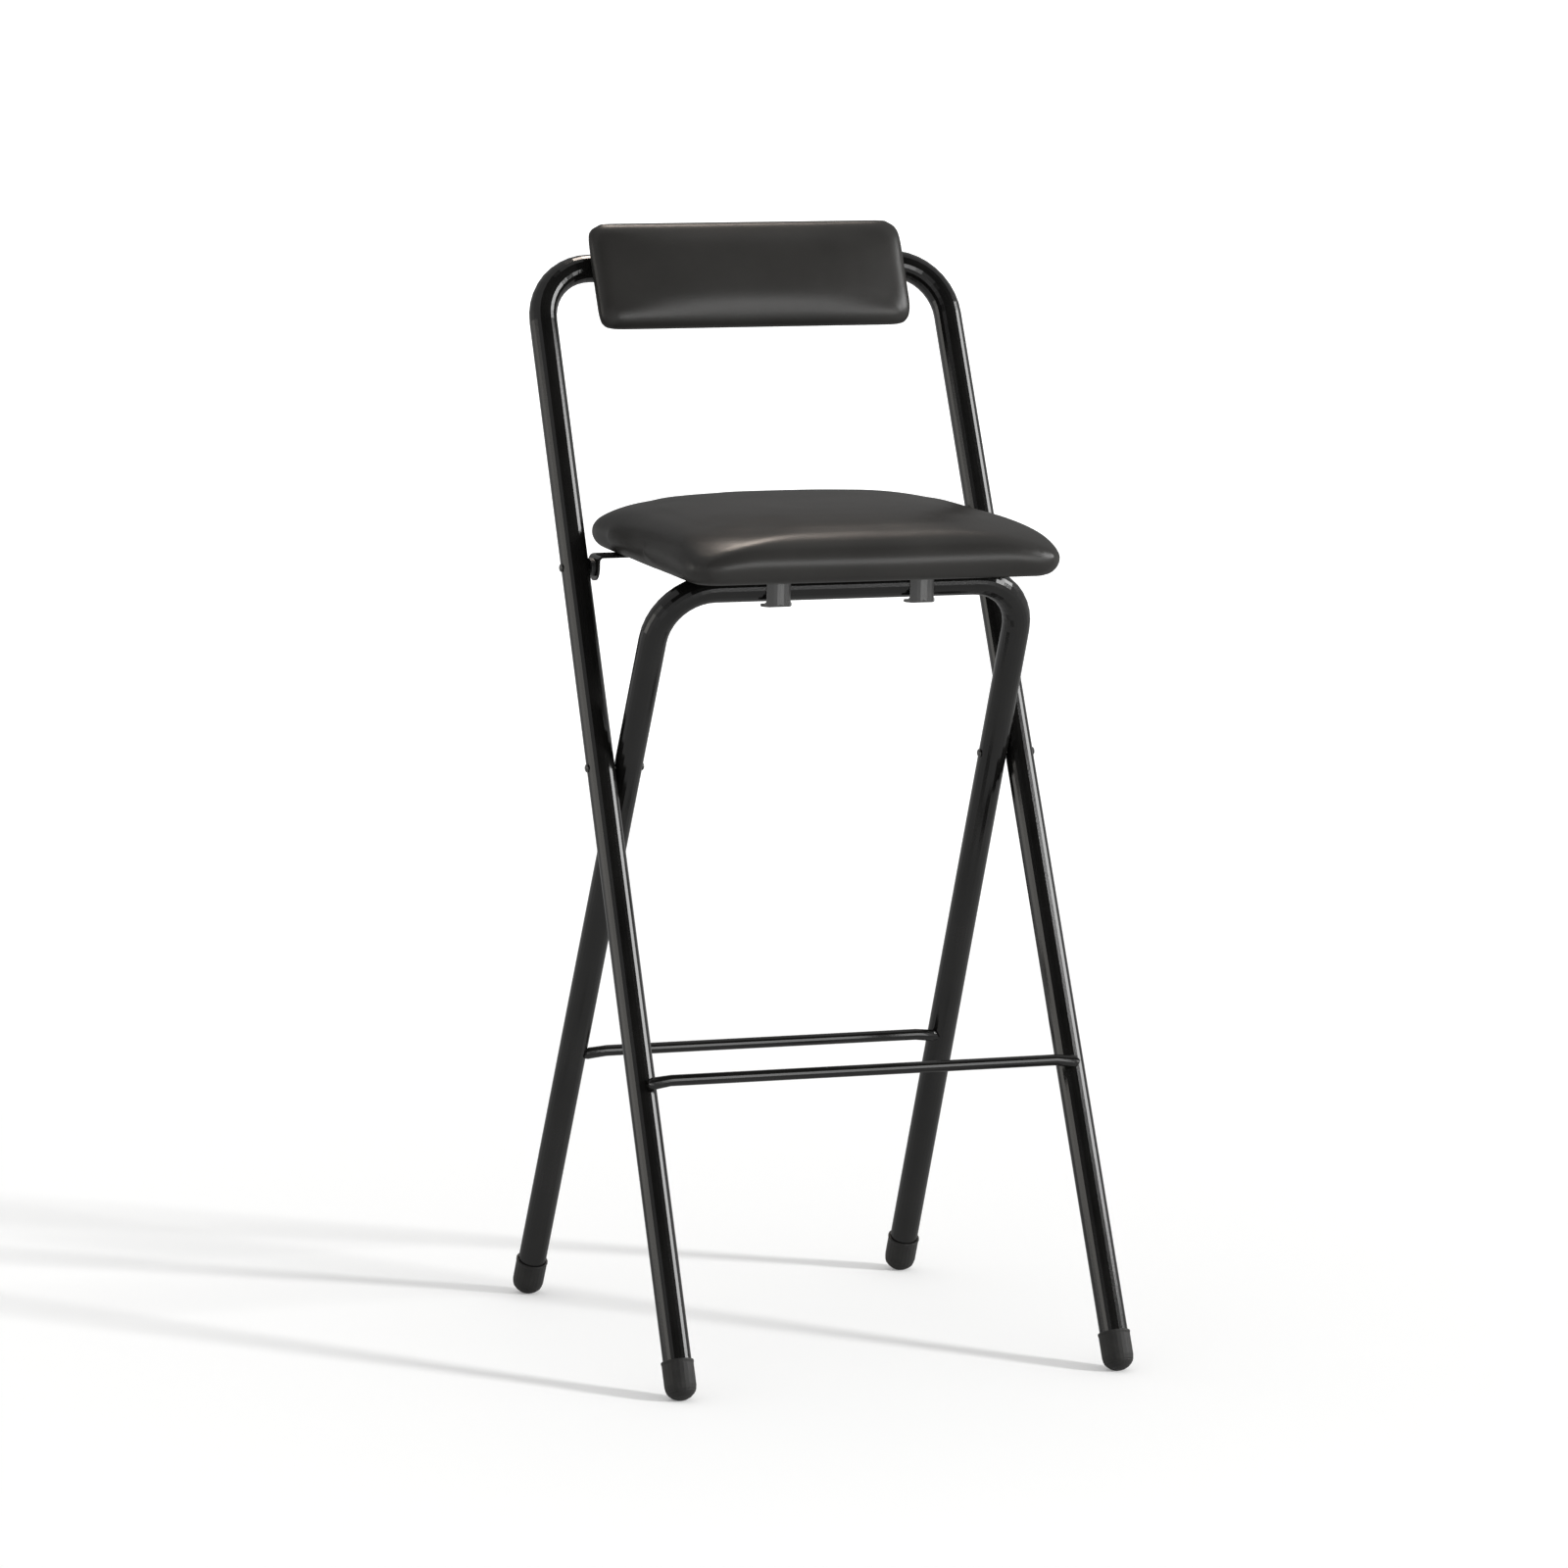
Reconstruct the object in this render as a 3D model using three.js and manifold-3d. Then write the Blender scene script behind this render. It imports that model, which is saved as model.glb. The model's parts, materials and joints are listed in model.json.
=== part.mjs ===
// Folding bar stool: two bent tube frames crossed on rivets, a padded seat that flips up on the
// back frame, and a padded backrest on the back frame's top bar.
// Millimetres and degrees, +Z up, the sitter faces -Y. The origin is on the floor, midway between the feet.

import * as THREE from "three";
import { mergeVertices } from "three/addons/utils/BufferGeometryUtils.js";
import Module from "manifold-3d";

const wasm = await Module();
wasm.setup();

// Fits and facets, shared by all pieces
const seatingGap = 0.3; // between two pieces that touch
const holeClearance = 0.3; // round a shank, on the radius
const cutOverrun = 2;
const mergeTolerance = 0.0001;
const roundFacets = 24;
const headFacets = 16;
const smallFacets = 12;
const bendSteps = 10;
const cornerSteps = 8;
const filletSteps = 4;
const domeSteps = 4;
const sideSteps = 6;

// Frame tubes
const tubeRadius = 12.5;
const tubeWall = 1.5;
const bendRadius = 50;
const footSpread = 450; // front to rear, between the leg axes on the floor
const pivotHeight = 513;
const pivotSetback = 17.9; // the legs cross this far behind the middle
const backHalfWidth = 199.3; // leg axis to the middle plane, at the pivot
const frameGap = 0.5; // between the two tubes where they cross
const backSplayDegrees = 0.64;
const seatSplayDegrees = 0.94;
const backTopHeight = 930.7;
const seatBarHeight = 677.7;
const seatPivotRise = 1.5; // of the seat pivot above the seat frame's top bar

// Cross bars between the legs. A bar's height is that of the leg axes where it stands ahead of them.
const barRadius = 5;
const barEndThickness = 8; // the ends are pressed flat
const barEndLength = 22;
const barEndDrop = 2.6; // the pressed ends sag towards the floor
const weldGap = 0.3;
const footrestHeight = 252.4;
const footrestOverhang = 1.2; // from the leg axis to the end of the front bar
const rearBarHeight = 243;
const rearBarInset = 7; // from the leg axis to the end of the rear bar
const rearBarLead = 7.7; // from the leg axes to the rear bar, on the sitter's side

// Rubber feet
const capWall = 1.2;
const capRim = 0.4;
const capRimHeight = 3;
const capSleeve = 22; // from the dome's widest ring to the rim
const capDome = 12.5;
const capFloor = 7;
const capFlat = 0.5; // depth of the flat that rests on the floor

// Rivets at the frame pivot and the seat pivot
const rivetShank = 2.25;
const rivetHead = 3.8;
const rivetDome = 2;
const seatWasherRadius = 8;
const seatWasherThickness = 4;

// Seat bracket: a flat strip under the board whose ends turn down into ears
const stripThickness = 2;
const stripWidth = 24;
const stripBend = 3;

// Seat cushion and its board
const seatFrontWidth = 346;
const seatRearWidth = 322;
const seatFrontOverhang = 82.9; // from the seat frame's top bar to the front of the cushion
const seatRearOverhang = 72.5; // from the seat pivot to the rear of the cushion
const seatFrontCorner = 24;
const seatRearCorner = 40;
const seatFrontShoulderCorner = 74;
const seatRearShoulderCorner = 92;
const seatEdgeHeight = 18.4; // underside to the widest ring
const seatShoulderRise = 25.8;
const seatShoulderInset = 27.5;
const seatDrawIn = 6;
const seatCrown = 10.8;
const seatBoardThickness = 10;
const seatBoardInset = 9;

// Seat hooks: moulded catches that hold the seat frame's top bar
const hookGap = 0.6;
const hookWidth = 31;
const hookSpacing = 135;
const hookWall = 5;
const hookLip = 2.8;
const hookLipLead = 7.2; // the lip ends this far ahead of the bar's axis
const hookFlangeLength = 18;
const hookFlangeThickness = 3;
const hookFlangeCorner = 6;
const hookFillet = 3;

// Screws
const screwShank = 1.9;
const screwHead = 4.25;
const screwDome = 2.4;
const screwBite = 7.5; // length in the board
const bracketScrewSpacing = 78;
const bracketScrewReach = 121; // from the middle plane to the outer screws
const hookScrewSpacing = 16;
const hookScrewLead = 9; // from the hook's nose to its screws

// Backrest pad, its board and its screws
const padWidth = 300;
const padHeight = 98;
const padDrop = 15.4; // from the top bar's axis to the middle of the pad
const padCorner = 13;
const padShoulderCorner = 15;
const padEdgeHeight = 3;
const padShoulderRise = 18;
const padShoulderInset = 18;
const padDrawIn = 3;
const padCrown = 8;
const padBoardThickness = 9;
const padBoardInset = 8;
const padScrewSpacing = 150;
const padScrewShank = 2.4;
const padScrewHead = 5;
const padScrewDome = 2.6;

// How far along its turn or its reach each ring of a soft or pressed form lies
const shoulderTurnDegrees = 70;
const edgeTurnShares = [0, 0.3, 0.6, 1];
const shoulderTurnShares = [0.2, 0.4, 0.6, 0.8, 1];
const crownReachShares = [0.9, 0.78, 0.62, 0.42, 0.2];
const pressShares = [0, 1 / 3, 2 / 3, 1];
const tipTurnShares = [1 / 3, 2 / 3, 0.95];
const pressSpreadShare = 0.5; // of the height that a pressed end of the same section would gain

// Angles and places that follow from the sizes
const quarterTurn = Math.PI / 2;
const quarterTurns = (steps) => Array.from({ length: steps + 1 }, (_, step) => (quarterTurn * step) / steps);

function frameOf(run, splayDegrees, halfWidth, topHeight) {
  const lean = Math.atan2(run, pivotHeight);
  return {
    lean,
    splay: THREE.MathUtils.degToRad(splayDegrees),
    halfWidth,
    pivot: pivotHeight / Math.cos(lean),
    top: topHeight / Math.cos(lean),
  };
}

const seatHalfWidth = backHalfWidth - 2 * tubeRadius - frameGap;
const backTube = frameOf(footSpread / 2 + pivotSetback, backSplayDegrees, backHalfWidth, backTopHeight);
const seatTube = frameOf(footSpread / 2 - pivotSetback, seatSplayDegrees, seatHalfWidth, seatBarHeight);
const seatPivotHeight = seatBarHeight + seatPivotRise;
const seatPivotOnBack = seatPivotHeight / Math.cos(backTube.lean);
const seatPivotY = seatPivotOnBack * Math.sin(backTube.lean) - footSpread / 2;
const seatBarY = footSpread / 2 - seatTube.top * Math.sin(seatTube.lean);

// From the middle plane to a leg's axis, at a distance along the frame from the floor
const halfWidthAt = (tube, along) => tube.halfWidth + (tube.pivot - along) * Math.tan(tube.splay);

// Finishes
const finishes = {
  paint: new THREE.MeshStandardMaterial({ color: 0x1c1c1b, roughness: 0.3, metalness: 0.2 }),
  rubber: new THREE.MeshStandardMaterial({ color: 0x262523, roughness: 0.85, metalness: 0 }),
  plastic: new THREE.MeshStandardMaterial({ color: 0x2a2a2b, roughness: 0.5, metalness: 0 }),
  nylon: new THREE.MeshStandardMaterial({ color: 0x1f1f1f, roughness: 0.6, metalness: 0 }),
  steel: new THREE.MeshStandardMaterial({ color: 0x2b2b2b, roughness: 0.35, metalness: 0.9 }),
  leather: new THREE.MeshStandardMaterial({ color: 0x33322f, roughness: 0.45, metalness: 0 }),
  board: new THREE.MeshStandardMaterial({ color: 0x3a3430, roughness: 0.9, metalness: 0 }),
};

// Joins and cuts of closed geometries
function solidOf(geometry) {
  const bare = geometry.index ? geometry.toNonIndexed() : geometry.clone();
  bare.deleteAttribute("normal");
  bare.deleteAttribute("uv");
  const merged = mergeVertices(bare, mergeTolerance);
  return new wasm.Manifold(
    new wasm.Mesh({
      numProp: 3,
      vertProperties: merged.attributes.position.array,
      triVerts: new Uint32Array(merged.index.array),
    }),
  );
}

function geometryOf(solid) {
  const mesh = solid.getMesh();
  const geometry = new THREE.BufferGeometry();
  geometry.setAttribute("position", new THREE.BufferAttribute(new Float32Array(mesh.vertProperties), 3));
  geometry.setIndex(new THREE.BufferAttribute(new Uint32Array(mesh.triVerts), 1));
  return geometry;
}

function cut(geometry, ...tools) {
  let solid = solidOf(geometry);
  for (const tool of tools) solid = solid.subtract(solidOf(tool));
  return geometryOf(solid);
}

const join = (first, second) => geometryOf(solidOf(first).add(solidOf(second)));

const common = (first, second) => geometryOf(solidOf(first).intersect(solidOf(second)));

// A closed surface through rings of points that run anticlockwise seen from the first ring's outer side
function loft(rings) {
  const sides = rings[0].length;
  const positions = [];
  const indices = [];
  for (const ring of rings) for (const point of ring) positions.push(point.x, point.y, point.z);
  for (let row = 0; row + 1 < rings.length; row++) {
    for (let side = 0; side < sides; side++) {
      const a = row * sides + side;
      const b = row * sides + ((side + 1) % sides);
      indices.push(a, b, b + sides, a, b + sides, a + sides);
    }
  }
  for (const row of [0, rings.length - 1]) {
    const centre = rings[row].reduce((sum, point) => sum.add(point), new THREE.Vector3());
    centre.divideScalar(sides);
    const hub = positions.length / 3;
    positions.push(centre.x, centre.y, centre.z);
    for (let side = 0; side < sides; side++) {
      const a = row * sides + side;
      const b = row * sides + ((side + 1) % sides);
      if (row > 0) indices.push(hub, a, b);
      else indices.push(hub, b, a);
    }
  }
  const geometry = new THREE.BufferGeometry();
  geometry.setAttribute("position", new THREE.Float32BufferAttribute(positions, 3));
  geometry.setIndex(indices);
  return geometry;
}

// A cylinder along X, Y or Z whose middle is at the given place
function rod(radius, length, axis, x, y, z, facets = smallFacets) {
  const geometry = new THREE.CylinderGeometry(radius, radius, length, facets);
  if (axis === "x") geometry.rotateZ(quarterTurn);
  if (axis === "z") geometry.rotateX(quarterTurn);
  return geometry.translate(x, y, z);
}

// The sides that meet in each corner of a convex outline, as directions
const sidesAt = (corners, i) => {
  const before = corners[(i + corners.length - 1) % corners.length];
  const after = corners[(i + 1) % corners.length];
  const arriving = corners[i].clone().sub(before).normalize();
  const leaving = after.clone().sub(corners[i]).normalize();
  return { arriving, leaving };
};

// A convex outline whose sides are all moved in by the same depth
function drawnIn(corners, depth) {
  return corners.map((corner, i) => {
    const { arriving, leaving } = sidesAt(corners, i);
    const inward = new THREE.Vector2(-arriving.y - leaving.y, arriving.x + leaving.x);
    return corner.clone().addScaledVector(inward, depth / (1 + arriving.dot(leaving)));
  });
}

// A convex outline with rounded corners, anticlockwise, and its straight sides in equal steps
function roundedOutline(corners, radii, steps = 1) {
  const arcs = corners.map((corner, i) => {
    const { arriving, leaving } = sidesAt(corners, i);
    const turn = Math.atan2(arriving.cross(leaving), arriving.dot(leaving));
    const outward = new THREE.Vector2(arriving.y, -arriving.x);
    const centre = corner.clone().addScaledVector(arriving, -radii[i] * Math.tan(turn / 2));
    centre.addScaledVector(outward, -radii[i]);
    return Array.from({ length: cornerSteps + 1 }, (_, step) => {
      const spoke = outward.clone().rotateAround(new THREE.Vector2(), (turn * step) / cornerSteps);
      return centre.clone().addScaledVector(spoke, radii[i]);
    });
  });
  return arcs.flatMap((arc, i) => {
    const last = arc[arc.length - 1];
    const next = arcs[(i + 1) % arcs.length][0];
    const between = Array.from({ length: steps - 1 }, (_, step) => last.clone().lerp(next, (step + 1) / steps));
    return [...arc, ...between];
  });
}

const prism = (points, height) =>
  new THREE.ExtrudeGeometry(new THREE.Shape(points), { depth: height, bevelEnabled: false });

// A bent tube: straight runs and arcs in the local XZ plane, with a station at each end of a run
class FramePath extends THREE.Curve {
  constructor(tube, footStart) {
    super();
    const lean = quarterTurn - tube.splay;
    const centreX = halfWidthAt(tube, tube.top) - bendRadius * Math.tan(lean / 2);
    const centreZ = tube.top - bendRadius;
    const side = [];
    side.push({ x: halfWidthAt(tube, footStart), z: footStart, angle: quarterTurn + tube.splay });
    for (let step = 0; step <= bendSteps; step++) {
      const turned = tube.splay + (lean * step) / bendSteps;
      side.push({
        x: centreX + bendRadius * Math.cos(turned),
        z: centreZ + bendRadius * Math.sin(turned),
        angle: quarterTurn + turned,
      });
    }
    const mirrored = side.map(({ x, z, angle }) => ({ x: -x, z, angle: -angle })).reverse();
    this.stations = [...side, ...mirrored];
  }
  at(u) {
    return this.stations[Math.round(u * (this.stations.length - 1))];
  }
  getPoint(u, target = new THREE.Vector3()) {
    const { x, z } = this.at(u);
    return target.set(x, 0, z);
  }
  getPointAt(u, target) {
    return this.getPoint(u, target);
  }
  getTangent(u, target = new THREE.Vector3()) {
    const { angle } = this.at(u);
    return target.set(Math.cos(angle), 0, Math.sin(angle));
  }
  getTangentAt(u, target) {
    return this.getTangent(u, target);
  }
}

function bentTube(path) {
  const section = new THREE.Shape().absarc(0, 0, tubeRadius, 0, 4 * quarterTurn);
  section.holes.push(new THREE.Path().absarc(0, 0, tubeRadius - tubeWall, 0, 4 * quarterTurn, true));
  return new THREE.ExtrudeGeometry(section, {
    extrudePath: path,
    steps: path.stations.length - 1,
    curveSegments: roundFacets / 2,
    bevelEnabled: false,
  });
}

// A leg from its foot up, as a solid cylinder that is larger than the tube by the weld's gap
function legRod(tube, side) {
  const geometry = rod(tubeRadius + weldGap, tube.top, "z", 0, 0, tube.top / 2, roundFacets);
  return geometry.rotateY(-side * tube.splay).translate(side * halfWidthAt(tube, 0), 0, 0);
}

// A cross bar whose ends are pressed flat, droop and are coped round the legs
function crossBar(tube, halfLength, lead, height) {
  const tip = barRadius;
  const pressStart = halfLength - barEndLength;
  const stations = [{ x: 0, pressed: 0, round: 1 }];
  for (const share of pressShares) {
    stations.push({ x: pressStart + (barEndLength - tip) * share, pressed: share, round: 1 });
  }
  for (const share of tipTurnShares) {
    const angle = share * quarterTurn;
    stations.push({ x: halfLength - tip + tip * Math.sin(angle), pressed: 1, round: Math.cos(angle) });
  }
  const ring = ({ x, pressed, round }, side) => {
    const depth = barRadius + (barEndThickness / 2 - barRadius) * pressed;
    const rise = barRadius + ((barRadius * barRadius) / depth - barRadius) * pressSpreadShare;
    const drop = (barEndDrop * Math.max(x - pressStart, 0)) / barEndLength;
    return Array.from({ length: headFacets }, (_, i) => {
      const angle = (4 * quarterTurn * i) / headFacets;
      const z = height - drop + rise * round * Math.sin(angle);
      return new THREE.Vector3(side * x, -lead + depth * Math.cos(angle), z);
    });
  };
  const left = stations.slice(1).reverse().map((station) => ring(station, -1));
  const right = stations.map((station) => ring(station, 1));
  return cut(loft([...left, ...right]), legRod(tube, -1), legRod(tube, 1));
}

// A turned piece along Y with a domed head below its seat and a plain end
function screw(shank, head, dome, length) {
  const profile = quarterTurns(domeSteps).map(
    (angle) => new THREE.Vector2(head * Math.sin(angle), -dome * Math.cos(angle)),
  );
  profile.push(new THREE.Vector2(shank, 0), new THREE.Vector2(shank, length), new THREE.Vector2(0, length));
  return new THREE.LatheGeometry(profile, headFacets);
}

// A rivet along X between two seats, with a domed head at each end
function rivet(from, to) {
  const length = to - from;
  const dome = (base, direction) =>
    quarterTurns(domeSteps).map(
      (angle) => new THREE.Vector2(rivetHead * Math.sin(angle), base + direction * rivetDome * Math.cos(angle)),
    );
  const shank = [new THREE.Vector2(rivetShank, 0), new THREE.Vector2(rivetShank, length)];
  const profile = [...dome(0, -1), ...shank, ...dome(length, 1).reverse()];
  return new THREE.LatheGeometry(profile, headFacets).rotateZ(-quarterTurn).translate(from, 0, 0);
}

// A padded cushion: drawn in at its base, widest above it, rounded over a shoulder to a crowned top,
// with a recess under it for its board. The corners open out towards the shoulder.
function cushion(corners, size) {
  const parallelTo = (depth) => size.corners.map((radius) => radius - depth);
  const openedBy = (share) => size.corners.map((radius, i) => radius + (size.shoulderCorners[i] - radius) * share);
  const ring = (depth, radii, z) =>
    roundedOutline(drawnIn(corners, depth), radii, sideSteps).map((point) => new THREE.Vector3(point.x, point.y, z));
  const recess = size.boardInset - seatingGap;
  const rings = [ring(recess, parallelTo(recess), size.board + seatingGap), ring(recess, parallelTo(recess), 0)];
  for (const share of edgeTurnShares) {
    const depth = size.drawIn * (1 - Math.sin(share * quarterTurn));
    rings.push(ring(depth, parallelTo(depth), size.edge * (1 - Math.cos(share * quarterTurn))));
  }
  for (const share of shoulderTurnShares) {
    const angle = share * THREE.MathUtils.degToRad(shoulderTurnDegrees);
    const depth = size.shoulderInset * (1 - Math.cos(angle));
    rings.push(ring(depth, openedBy(share), size.edge + size.rise * Math.sin(angle)));
  }
  const shoulder = rings[rings.length - 1];
  const box = new THREE.Box3().setFromPoints(shoulder);
  const centre = box.getCenter(new THREE.Vector3());
  const half = box.getSize(new THREE.Vector3()).divideScalar(2);
  const fallShare = (away, reach) => 1 - Math.abs(away / reach) ** 3;
  for (const share of crownReachShares) {
    rings.push(
      shoulder.map((edge) => {
        const point = centre.clone().lerp(edge, share);
        const liftShare = fallShare(point.x - centre.x, half.x) * fallShare(point.y - centre.y, half.y);
        return point.setZ(edge.z + size.crown * liftShare);
      }),
    );
  }
  return loft(rings);
}

// The board of a cushion, with its corners parallel to the cushion's
function cushionBoard(corners, size) {
  const radii = size.corners.map((radius) => radius - size.boardInset);
  return prism(roundedOutline(drawnIn(corners, size.boardInset), radii), size.board);
}

const meshes = [];
function piece(group, name, geometry, finish) {
  const mesh = new THREE.Mesh(geometry, finishes[finish]);
  mesh.name = name;
  group.add(mesh);
  meshes.push(mesh);
}

const stool = new THREE.Group();

// Each frame's group has its origin on the floor and its Z axis along the lean
const backFrame = new THREE.Group();
backFrame.position.y = -footSpread / 2;
backFrame.rotation.x = -backTube.lean;
stool.add(backFrame);

const seatFrame = new THREE.Group();
seatFrame.position.y = footSpread / 2;
seatFrame.rotation.x = seatTube.lean;
stool.add(seatFrame);

// The seat's group has its origin on the seat pivot's axis
const seat = new THREE.Group();
seat.position.set(0, seatPivotY, seatPivotHeight);
stool.add(seat);

const sides = [
  ["left", -1],
  ["right", 1],
];

// Rubber feet. A foot is turned about the leg's axis from the middle of its dome, then cut flat at the floor.
const capRadius = tubeRadius + seatingGap + capWall;
const capBore = tubeRadius + seatingGap;

// The distance along the frame from the floor to the middle of the dome
function domePlace(tube) {
  const tilt = Math.acos(Math.cos(tube.lean) * Math.cos(tube.splay));
  const height = Math.hypot(capRadius * Math.sin(tilt), capDome * Math.cos(tilt)) - capFlat;
  return height / Math.cos(tube.lean);
}

const tubeFoot = (tube) => domePlace(tube) - (capDome - capFloor - seatingGap) * Math.cos(tube.splay);

function footCap() {
  const profile = quarterTurns(domeSteps + 1).map(
    (angle) => new THREE.Vector2(capRadius * Math.sin(angle), -capDome * Math.cos(angle)),
  );
  profile.push(new THREE.Vector2(capRadius, capSleeve - capRimHeight));
  profile.push(new THREE.Vector2(capRadius + capRim, capSleeve - capRimHeight / 2));
  profile.push(new THREE.Vector2(capRadius + capRim, capSleeve - capRim));
  profile.push(new THREE.Vector2(capRadius, capSleeve));
  profile.push(new THREE.Vector2(capBore, capSleeve));
  profile.push(new THREE.Vector2(capBore, capFloor - capDome));
  profile.push(new THREE.Vector2(0, capFloor - capDome));
  return new THREE.LatheGeometry(profile, roundFacets);
}

function addFeet(frame, tube, place) {
  frame.updateMatrixWorld(true);
  const floorDepth = capDome + cutOverrun;
  for (const [side, sign] of sides) {
    const along = domePlace(tube);
    const onLeg = new THREE.Matrix4().makeTranslation(sign * halfWidthAt(tube, along), 0, along);
    onLeg.multiply(new THREE.Matrix4().makeRotationY(-sign * tube.splay));
    const foot = footCap().rotateX(quarterTurn).applyMatrix4(onLeg).applyMatrix4(frame.matrixWorld);
    const floor = new THREE.BoxGeometry(2 * footSpread, 2 * footSpread, floorDepth);
    floor.translate(0, 0, -floorDepth / 2);
    piece(stool, `${place}_foot_cap_${side}`, cut(foot, floor), "rubber");
  }
}

addFeet(backFrame, backTube, "front");
addFeet(seatFrame, seatTube, "rear");

// Back frame: one tube from foot to foot, drilled for the pivots and for the backrest's screws
const throughTube = 2 * tubeRadius + cutOverrun;
const backDrills = [];
for (const [, sign] of sides) {
  for (const along of [backTube.pivot, seatPivotOnBack]) {
    const x = sign * halfWidthAt(backTube, along);
    backDrills.push(rod(rivetShank + holeClearance, throughTube, "x", x, 0, along));
  }
  const x = (sign * padScrewSpacing) / 2;
  backDrills.push(rod(padScrewShank + holeClearance, throughTube, "y", x, 0, backTube.top));
}
const backPath = new FramePath(backTube, tubeFoot(backTube));
piece(backFrame, "back_frame_tube", cut(bentTube(backPath), ...backDrills), "paint");

// Front footrest bar, across the front of the back frame's legs
const footrest = footrestHeight / Math.cos(backTube.lean);
const footrestLength = halfWidthAt(backTube, footrest) + footrestOverhang;
const footrestLead = tubeRadius + weldGap + barEndThickness / 2;
piece(backFrame, "front_footrest_bar", crossBar(backTube, footrestLength, footrestLead, footrest), "paint");

// Seat frame: one tube from foot to foot, drilled for the frame pivot
const seatDrills = sides.map(([, sign]) => {
  const x = sign * halfWidthAt(seatTube, seatTube.pivot);
  return rod(rivetShank + holeClearance, throughTube, "x", x, 0, seatTube.pivot);
});
const seatPath = new FramePath(seatTube, tubeFoot(seatTube));
piece(seatFrame, "seat_frame_tube", cut(bentTube(seatPath), ...seatDrills), "paint");

// Rear cross bar, between the seat frame's legs
const rearBar = rearBarHeight / Math.cos(seatTube.lean);
const rearBarLength = halfWidthAt(seatTube, rearBar) - rearBarInset;
piece(seatFrame, "rear_cross_bar", crossBar(seatTube, rearBarLength, rearBarLead, rearBar), "paint");

// Rivets through both frames at their crossing, and through the back frame and the bracket's ears
const outerSeat = tubeRadius + seatingGap;
const pivotOut = halfWidthAt(backTube, backTube.pivot) + outerSeat;
const pivotIn = halfWidthAt(seatTube, seatTube.pivot) - outerSeat;
const seatPivotOut = halfWidthAt(backTube, seatPivotOnBack) + outerSeat;
const washerOut = halfWidthAt(backTube, seatPivotOnBack) - outerSeat;
const earOut = washerOut - seatWasherThickness - seatingGap;
const earIn = earOut - stripThickness;
const seatPivotIn = earIn - seatingGap;
for (const [side, sign] of sides) {
  const across = (inner, outer) => (sign > 0 ? rivet(inner, outer) : rivet(-outer, -inner));
  const frameRivet = across(pivotIn, pivotOut).translate(0, 0, backTube.pivot);
  piece(backFrame, `frame_pivot_rivet_${side}`, frameRivet, "steel");
  const seatRivet = across(seatPivotIn, seatPivotOut).translate(0, 0, seatPivotOnBack);
  piece(backFrame, `seat_pivot_rivet_${side}`, seatRivet, "steel");
  const middle = sign * (washerOut - seatWasherThickness / 2);
  const washer = cut(
    rod(seatWasherRadius, seatWasherThickness, "x", middle, 0, seatPivotOnBack, roundFacets),
    rod(rivetShank + holeClearance, seatWasherThickness + cutOverrun, "x", middle, 0, seatPivotOnBack),
  );
  piece(backFrame, `seat_pivot_washer_${side}`, washer, "nylon");
}

// Heights and places in the seat's group
const boardBase = seatBarHeight + tubeRadius + seatingGap - seatPivotHeight;
const stripTop = boardBase - seatingGap;
const stripBase = stripTop - stripThickness;
const barAhead = seatPivotY - seatBarY; // from the seat pivot forward to the seat frame's top bar
const barLevel = seatBarHeight - seatPivotHeight;
const innerBracketScrew = bracketScrewReach - bracketScrewSpacing;
const bracketScrews = [-bracketScrewReach, -innerBracketScrew, innerBracketScrew, bracketScrewReach];

// Seat bracket: the strip and its ears are one bent section, rounded off below the pivot
function seatBracket() {
  const half = stripWidth / 2;
  const bendX = earOut - stripThickness - stripBend;
  const bendZ = stripTop - stripThickness - stripBend;
  const bendArc = (radius) =>
    quarterTurns(filletSteps).map(
      (angle) => new THREE.Vector2(bendX + radius * Math.cos(angle), bendZ + radius * Math.sin(angle)),
    );
  const mirrored = (points) => points.map((point) => new THREE.Vector2(-point.x, point.y)).reverse();
  const outer = [new THREE.Vector2(earOut, -half), ...bendArc(stripBend + stripThickness)];
  const inner = [new THREE.Vector2(earIn, -half), ...bendArc(stripBend)];
  const section = [...outer, ...mirrored(outer), ...mirrored([...inner].reverse()), ...inner.reverse()];
  const bent = prism(section, stripWidth).rotateX(quarterTurn).translate(0, half, 0);
  const side = new THREE.Shape();
  side.moveTo(half, stripTop + cutOverrun);
  side.lineTo(-half, stripTop + cutOverrun);
  side.lineTo(-half, 0);
  side.absarc(0, 0, half, 2 * quarterTurn, 4 * quarterTurn, false);
  const length = 2 * (earOut + cutOverrun);
  const profile = new THREE.ExtrudeGeometry(side, { depth: length, bevelEnabled: false });
  profile.rotateX(quarterTurn).rotateZ(quarterTurn).translate(-length / 2, 0, 0);
  const drills = bracketScrews.map((x) =>
    rod(screwShank + holeClearance, stripThickness + cutOverrun, "z", x, 0, stripBase),
  );
  drills.push(rod(rivetShank + holeClearance, length, "x", 0, 0, 0));
  return cut(common(bent, profile), ...drills);
}

piece(seat, "seat_bracket", seatBracket(), "paint");

// Seat hooks: a wall in front of the bar with a rounded nose, a lip under the bar and a flange to the board.
// Their outline is drawn ahead of the bar's axis and above it, then laid along the width.
const hookInside = tubeRadius + hookGap;
const hookNose = hookInside + hookWall;
const hookTop = boardBase - seatingGap - barLevel;
const hookBase = -hookInside - hookLip;

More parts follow.
